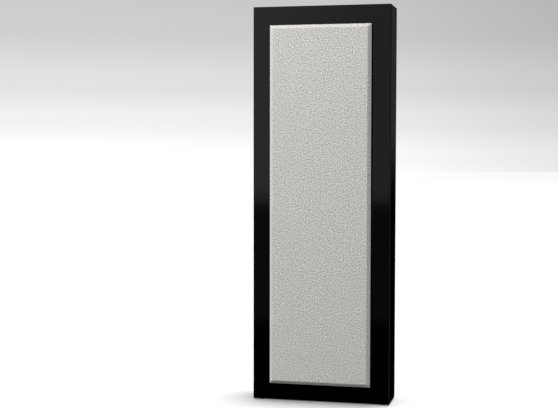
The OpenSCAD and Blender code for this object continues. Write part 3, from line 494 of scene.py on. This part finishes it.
def cloth_profile(bevel, groove, fold):
    """From the hidden edge to the flat front, as (inset from the outline, y behind the front)."""
    turn, last = BEVEL_ANGLE, FOLD_POINTS - 1
    reach = fold * math.tan(turn / 2)
    points = [(0.0, bevel + groove), (0.0, bevel + groove * 0.5)]
    for i in range(FOLD_POINTS):
        a = turn * i / last
        points.append((fold * (1 - math.cos(a)), bevel + reach - fold * math.sin(a)))
    for t in (0.25, 0.5, 0.75):
        points.append((bevel * t, bevel * (1 - t)))
    for i in range(FOLD_POINTS):
        a = turn * (1 - i / last)
        points.append((bevel + reach - fold * math.sin(a), fold * (1 - math.cos(a))))
    return points


def stretched_cloth(material):
    """One sheet over the front and bevels, turned in behind the bevel's outer edge."""
    low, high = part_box("grille_cloth")
    profile = cloth_profile(CLOTH_BEVEL, CLOTH_GROOVE, CLOTH_FOLD)
    across, up = CLOTH_COLUMNS, CLOTH_ROWS
    half_w, half_h = (high.x - low.x) / 2, (high.z - low.z) / 2
    mid_x, mid_z = (high.x + low.x) / 2, (high.z + low.z) / 2
    steps = [math.dist(p, q) for p, q in zip(profile, profile[1:])]
    laid = [0.0] + list(np.cumsum(steps))
    last_inset, flat_edge = profile[-1][0], laid[-1]

    def outline(inset):
        """Signed positions round a rectangle, in step with the front's grid."""
        w, h = half_w - inset, half_h - inset
        xs, zs = np.linspace(-w, w, across + 1), np.linspace(-h, h, up + 1)
        ring = [(x, -h) for x in xs[:-1]] + [(w, z) for z in zs[:-1]]
        return ring + [(x, h) for x in xs[:0:-1]] + [(-w, z) for z in zs[:0:-1]]

    vertices, flat, faces = [], [], []
    count = 2 * (across + up)
    for (inset, y), length in zip(profile[:-1], laid):
        spread = flat_edge - length - (last_inset - inset)
        for x, z in outline(inset):
            vertices.append((mid_x + x, low.y + y, mid_z + z))
            edge_x = math.copysign(spread, x) if abs(x) > half_w - inset - 1e-6 else 0.0
            edge_z = math.copysign(spread, z) if abs(z) > half_h - inset - 1e-6 else 0.0
            flat.append((x + edge_x, z + edge_z, 0.0))
    rings = len(profile) - 1
    for k in range(rings - 1):
        for i in range(count):
            j = (i + 1) % count
            faces.append((k * count + i, k * count + j, (k + 1) * count + j, (k + 1) * count + i))
    first = len(vertices)
    w, h = half_w - last_inset, half_h - last_inset
    for z in np.linspace(-h, h, up + 1):
        for x in np.linspace(-w, w, across + 1):
            vertices.append((mid_x + x, low.y, mid_z + z))
            flat.append((x, z, 0.0))

    def grid(i, j):
        return first + j * (across + 1) + i

    border = [grid(i, 0) for i in range(across)] + [grid(across, j) for j in range(up)]
    border += [grid(i, up) for i in range(across, 0, -1)] + [grid(0, j) for j in range(up, 0, -1)]
    for i in range(count):
        j = (i + 1) % count
        faces.append(((rings - 1) * count + i, (rings - 1) * count + j, border[j], border[i]))
    for j in range(up):
        for i in range(across):
            faces.append((grid(i, j), grid(i + 1, j), grid(i + 1, j + 1), grid(i, j + 1)))
    piece = make_piece("stretched_grille_cloth", vertices, faces, material)
    attribute = piece.data.attributes.new("flat_cloth", "FLOAT_VECTOR", "POINT")
    attribute.data.foreach_set("vector", np.array(flat, np.float32).ravel())
    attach(piece, "grille")
    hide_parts("grille_cloth")


stretched_cloth(grille_fabric())


# ------------------------------------------------------------------ surrounds and spiders

RING_STEPS = 144
CONE_SECTORS, OTHER_SECTORS = 24, 12
ROLL_STEPS = 10


def flexing_ring(node, pairs, sectors, material):
    """A soft ring in sectors, each one a separate piece."""
    low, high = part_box(node)
    centre = ((low.x + high.x) / 2, (low.z + high.z) / 2)
    half = math.pi / sectors
    for sector in range(sectors):
        middle = 2 * half * sector
        piece = ring_part("%s_%02d" % (node, sector), pairs, centre, middle, half,
                          RING_STEPS // sectors, material)
        shade_round(piece, centre)
        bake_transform(piece)
        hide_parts(node)


def roll_pairs(inner, middle, roll, outer, lip_y, seat_y, skin):
    """Section of a half roll with a flat lip each side, from the inner lip to the outer one."""
    inner_skin = roll - skin
    first = math.degrees(math.asin(skin / roll))
    front = arc(middle, seat_y, roll, 180 + first, 360 - first, ROLL_STEPS)
    back = arc(middle, seat_y, inner_skin, 180, 360, ROLL_STEPS)
    return ([((inner, lip_y), (inner, seat_y))] + list(zip(front, back))
            + [((outer, lip_y), (outer, seat_y))])


def cone_surround(driver, material):
    """Half-roll rubber edge between the cone's rim and the basket's seat."""
    node = driver + "_surround"
    low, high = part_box(node)
    cone_low, cone_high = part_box(driver + "_cone")
    outer, cone_r = (high.x - low.x) / 2, (cone_high.x - cone_low.x) / 2
    roll, skin, lip, lap = high.y - low.y, 1.0 * MM, 4.0 * MM, 0.5 * MM
    middle = cone_r + roll - lap
    pairs = roll_pairs(cone_r - lip, middle, roll, outer, high.y - skin, high.y, skin)
    flexing_ring(node, pairs, CONE_SECTORS,
                 material)


def spider(driver, material):
    """Corrugated cotton that centres the voice coil."""
    node = driver + "_spider"
    low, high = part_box(node)
    coil_low, coil_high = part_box(driver + "_voice_coil")
    glue, rim = 0.75 * MM, 4.0 * MM
    edge, inner = (high.x - low.x) / 2, (coil_high.x - coil_low.x) / 2 - glue
    outer, thickness, ripple, waves, steps = edge - rim, 0.6 * MM, 0.8 * MM, 5, 50
    face = (low.y + high.y - thickness) / 2
    pairs = []
    for i in range(steps + 1):
        r = inner + (outer - inner) * i / steps
        y = face + ripple * math.sin(2 * math.pi * waves * i / steps)
        pairs.append(((r, y), (r, y + thickness)))
    pairs.append(((edge, face), (edge, face + thickness)))
    flexing_ring(node, pairs, OTHER_SECTORS, material)


def tweeter_surround(material):
    """Small silk roll round the dome, in one with its flat mounting ring."""
    low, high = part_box("tweeter_surround")
    dome_low, dome_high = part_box("tweeter_dome")
    outer, dome_r = (high.x - low.x) / 2, (dome_high.x - dome_low.x) / 2
    roll, skin, gap = 2.0 * MM, 0.4 * MM, 0.1 * MM
    middle = dome_r + 2.3 * MM
    pairs = roll_pairs(dome_r + gap, middle, roll, outer, high.y - skin, high.y, skin)
    flexing_ring("tweeter_surround", pairs,
                 OTHER_SECTORS, material)


surround_rubber, spider_cotton = rubber("surround_rubber", (0.010, 0.010, 0.011), 0.48), dipped_cotton()
for driver in CONE_DRIVERS:
    cone_surround(driver, surround_rubber)
    spider(driver, spider_cotton)
tweeter_surround(dome_silk)


# ------------------------------------------------------------------ damping wadding

def fluffy_pad(name, low, high, material):
    """A soft pad that lies on the back panel: crowned, lumpy, and thin at its edges."""
    pitch = 6.0 * MM
    across = round((high.x - low.x) / pitch)
    up = round((high.z - low.z) / pitch)
    vertices, faces = [], []
    for j in range(up + 1):
        v = 2 * j / up - 1
        for i in range(across + 1):
            u = 2 * i / across - 1
            crown = ((1 - u ** 8) * (1 - v ** 8)) ** 0.4
            x, z = low.x + (high.x - low.x) * i / across, low.z + (high.z - low.z) * j / up
            lumps = (math.sin(61 * x + 17 * z) * math.sin(53 * z - 23 * x)
                     + 0.5 * math.sin(210 * x) * math.sin(190 * z))
            depth = (high.y - low.y) * crown * (0.86 + 0.09 * lumps)
            vertices += [(x, high.y - depth, z), (x, high.y, z)]

    def at(i, j, side):
        return 2 * (j * (across + 1) + i) + side

    for j in range(up):
        for i in range(across):
            faces += [(at(i, j, side), at(i + 1, j, side), at(i + 1, j + 1, side), at(i, j + 1, side))
                      for side in (0, 1)]
    pad = close_piece(make_piece(name, vertices, faces, material))
    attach(pad, "cabinet")
    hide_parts("damping_wadding")


def wadding_boxes():
    """Lowest and highest corners of each slab in the CAD node, from the bottom one up."""
    ends = sorted({round(v.co.z, 6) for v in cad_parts["damping_wadding"].data.vertices})
    low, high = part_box("damping_wadding")
    return [(Vector((low.x, low.y, a)), Vector((high.x, high.y, b)))
            for a, b in zip(ends[::2], ends[1::2])]


polyester_wool = wool()
for number, (pad_low, pad_high) in enumerate(wadding_boxes()):
    fluffy_pad("wadding_pad_%d" % (number + 1), pad_low, pad_high, polyester_wool)


# ------------------------------------------------------------------ camera

CAMERA_OFFSET = (0.5709, -2.8934, 0.6516)
CAMERA_TURN, CAMERA_TILT, CAMERA_ROLL = 13.217, 2.888, 0.069
CAMERA_LENS = 75.57


def place_camera():
    """The photograph's view: a little to the right of the front, at two thirds of the height. The
    offset is from the foot of the baffle's face, in cabinet heights. Angles are in degrees."""
    data = bpy.data.cameras.new("camera")
    data.sensor_width = 36.0
    data.lens = CAMERA_LENS
    camera = bpy.data.objects.new("camera", data)
    scene.collection.objects.link(camera)
    scene.camera = camera
    foot = Vector((0.0, baffle_low.y, baffle_low.z))
    camera.location = foot + Vector(CAMERA_OFFSET) * cabinet_h
    turn, tilt, roll = (math.radians(a) for a in (CAMERA_TURN, CAMERA_TILT, CAMERA_ROLL))
    camera.rotation_euler = Euler((math.radians(90) - tilt, -roll, turn), "XYZ")
    data.clip_end = 200.0


place_camera()


# ------------------------------------------------------------------ stage and light

def world_light():
    """A pale room. Mirror rays see a bright wall over a dark floor, and the camera sees a backdrop."""
    world = bpy.data.worlds.new("studio")
    scene.world = world
    world.use_nodes = True
    world.node_tree.nodes.clear()
    w = Nodes(world.node_tree)
    split = w.add("ShaderNodeSeparateXYZ")
    w.link(w.add("ShaderNodeTexCoord").outputs["Generated"], split.inputs[0])

    def ramp(axis, low, high, stops):
        """Light levels by one component of the direction, with positions from low to high."""
        places = [((position - low) / (high - low), level) for position, level in stops]
        return w.ramp(w.span(split.outputs[axis], low, high), places, "EASE")

    backdrop = ramp("Z", -0.1, 0.4, [(-0.06, 1.36), (-0.01, 1.05), (0.022, 0.90), (0.05, 0.775),
                                     (0.10, 0.63), (0.16, 0.546), (0.38, 0.44)])
    shaded = ramp("X", -0.5, 0.3, [(-0.42, 0.99), (-0.22, 0.955), (0.05, 0.76)])
    backdrop = w.mix(1.0, backdrop, shaded, "MULTIPLY")
    front_left = ramp("Z", -0.3, 0.3, [(-0.160, 0.0), (-0.140, 0.085), (-0.060, 0.075),
                                       (-0.0525, 0.117), (-0.046, 0.342), (-0.036, 0.53),
                                       (0.05, 0.545), (0.3, 0.6)])
    front_right = ramp("Z", -0.3, 0.3, [(-0.160, 0.0), (-0.140, 0.070), (-0.060, 0.065),
                                        (-0.0525, 0.105), (-0.046, 0.307), (-0.036, 0.37),
                                        (0.05, 0.37), (0.3, 0.41)])
    to_right = ramp("X", -0.6, 0.2, [(-0.25, 0.0), (-0.13, 1.0)])
    front_wall = w.mix(to_right, front_left, front_right)
    far_right = ramp("X", -0.2, 0.9, [(0.0, 0.0), (0.4, 0.7)])
    front_wall = w.mix(far_right, front_wall, (0.0, 0.0, 0.0))
    back_wall = ramp("Z", -0.3, 0.3, [(-0.055, 0.0), (-0.048, 0.0015), (-0.035, 0.005),
                                      (-0.0213, 0.0146), (-0.0077, 0.027), (0.002, 0.0367),
                                      (0.0145, 0.044), (0.04, 0.046), (0.113, 0.046), (0.3, 0.12)])
    behind = ramp("Y", -0.5, 0.5, [(-0.2, 0.0), (0.2, 1.0)])
    mirror = w.mix(behind, front_wall, back_wall)
    near_floor = ramp("Z", -1.0, 0.1, [(-1.0, 0.50), (-0.33, 0.40), (-0.235, 0.0)])
    side_floor = ramp("Z", -1.0, 0.1, [(-1.0, 0.50), (-0.33, 0.40), (-0.02, 0.30), (0.02, 0.0)])
    to_sides = ramp("X", -1.0, 1.0, [(-0.65, 1.0), (-0.45, 0.0), (0.45, 0.0), (0.65, 1.0)])
    lit_floor = w.mix(to_sides, near_floor, side_floor)
    mirror = w.mix(1.0, mirror, lit_floor, "LIGHTEN")
    soft = ramp("Z", -1.0, 1.0, [(-1.0, 0.20), (-0.1, 0.26), (0.2, 0.60), (1.0, 0.66)])
    path = w.add("ShaderNodeLightPath")
    level = w.mix(path.outputs["Is Glossy Ray"], soft, mirror)
    level = w.mix(path.outputs["Is Camera Ray"], level, backdrop)
    background = w.feed(w.add("ShaderNodeBackground"), Color=level)
    w.link(background.outputs[0], w.add("ShaderNodeOutputWorld").inputs[0])


def area_light(name, place, aim, size, watts, tint=(1.0, 1.0, 1.0)):
    """A softbox at place, turned to aim."""
    data = bpy.data.lights.new(name, "AREA")
    data.shape = "RECTANGLE"
    data.size, data.size_y = size
    data.energy = watts
    data.color = tint
    lamp = bpy.data.objects.new(name, data)
    scene.collection.objects.link(lamp)
    lamp.location = place
    lamp.rotation_euler = (Vector(aim) - Vector(place)).to_track_quat("-Z", "Y").to_euler()
    return lamp


FLOOR_RADIUS, FLOOR_SIDES = 30.0, 96


def studio_floor():
    """A wide pale disc with softened paper grain, greyed far behind and to the right with painted
    shade. It is left out of mirror rays and bounced light.
    """
    m = Material("floor_paper", (0.8, 0.8, 0.8), 0.9, Emission_Strength=0.16)
    m.set("Emission Color", (1.0, 1.0, 1.0, 1.0))
    tone = m.ramp(m.noise(0.4, 4.0), [(0.3, 0.93), (0.7, 0.96)])
    # Painted shade: the far floor turns grey towards the back and the right, as the backdrop darkens to
    # the right.
    far = m.math("MULTIPLY", m.span(m.axis("Y"), 9.0, 24.0, 0.0, 1.0),
                 m.span(m.axis("X"), -10.0, 0.0, 0.0, 1.0))
    m.color(m.mix(far, tone, (0.80, 0.80, 0.80)))
    m.bump(m.noise(0.003, 3.0), 0.00005)
    angles = [2 * math.pi * i / FLOOR_SIDES for i in range(FLOOR_SIDES)]
    ring = [(FLOOR_RADIUS * math.cos(a), FLOOR_RADIUS * math.sin(a), 0.0) for a in angles]
    floor = make_piece("floor", ring, [tuple(range(FLOOR_SIDES))], m)
    floor.visible_glossy = False
    floor.visible_diffuse = False
    return floor


def overhead_sun(lean, spread, power):
    """Light from straight above, a little from behind on the right. It whitens the floor and leaves
    a short contact shadow at the front left. Mirror rays don't see it."""
    data = bpy.data.lights.new("overhead", "SUN")
    data.angle = math.radians(spread)
    data.energy = power
    lamp = bpy.data.objects.new("overhead", data)
    scene.collection.objects.link(lamp)
    lamp.rotation_euler = Vector(lean).to_track_quat("Z", "Y").to_euler()
    lamp.visible_glossy = False
    return lamp


def link_lamps(lamps, state, *things):
    """The lamps light only the things with INCLUDE, and everything else with EXCLUDE."""
    group = bpy.data.collections.new("light_link")
    for thing in things:
        group.objects.link(thing)
    for entry in group.collection_objects:
        entry.light_linking.link_state = state
    for lamp in lamps:
        lamp.light_linking.receiver_collection = group


world_light()
floor = studio_floor()
overhead = overhead_sun(lean=(0.05, 0.05, 1.0), spread=9.0, power=1.35)
key = area_light("key", (-2.1, -2.0, 3.1), (0.0, 0.0, 0.7), (1.6, 1.6), 189.0, (1.0, 0.995, 0.985))
back_fill = area_light("back_fill", (-2.2, 2.8, 2.2), (0.0, 0.1, 0.6), (1.8, 1.8), 60.0)
right_fill = area_light("right_fill", (3.2, -1.4, 1.2), (0.0, 0.0, 0.6), (1.4, 1.8), 30.0)
back_fill.visible_glossy = False
right_fill.visible_glossy = False
# The floor keeps an even tone, and no lamp turns the panels' top edges white in a mirror view.
panels = [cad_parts[name] for name in (*LACQUERED, "back_panel")]
link_lamps([overhead], "INCLUDE", floor)
link_lamps([back_fill, right_fill], "EXCLUDE", floor)
link_lamps([key], "EXCLUDE", floor, *panels)
scene.view_settings.view_transform = "Standard"
scene.view_settings.look = "None"
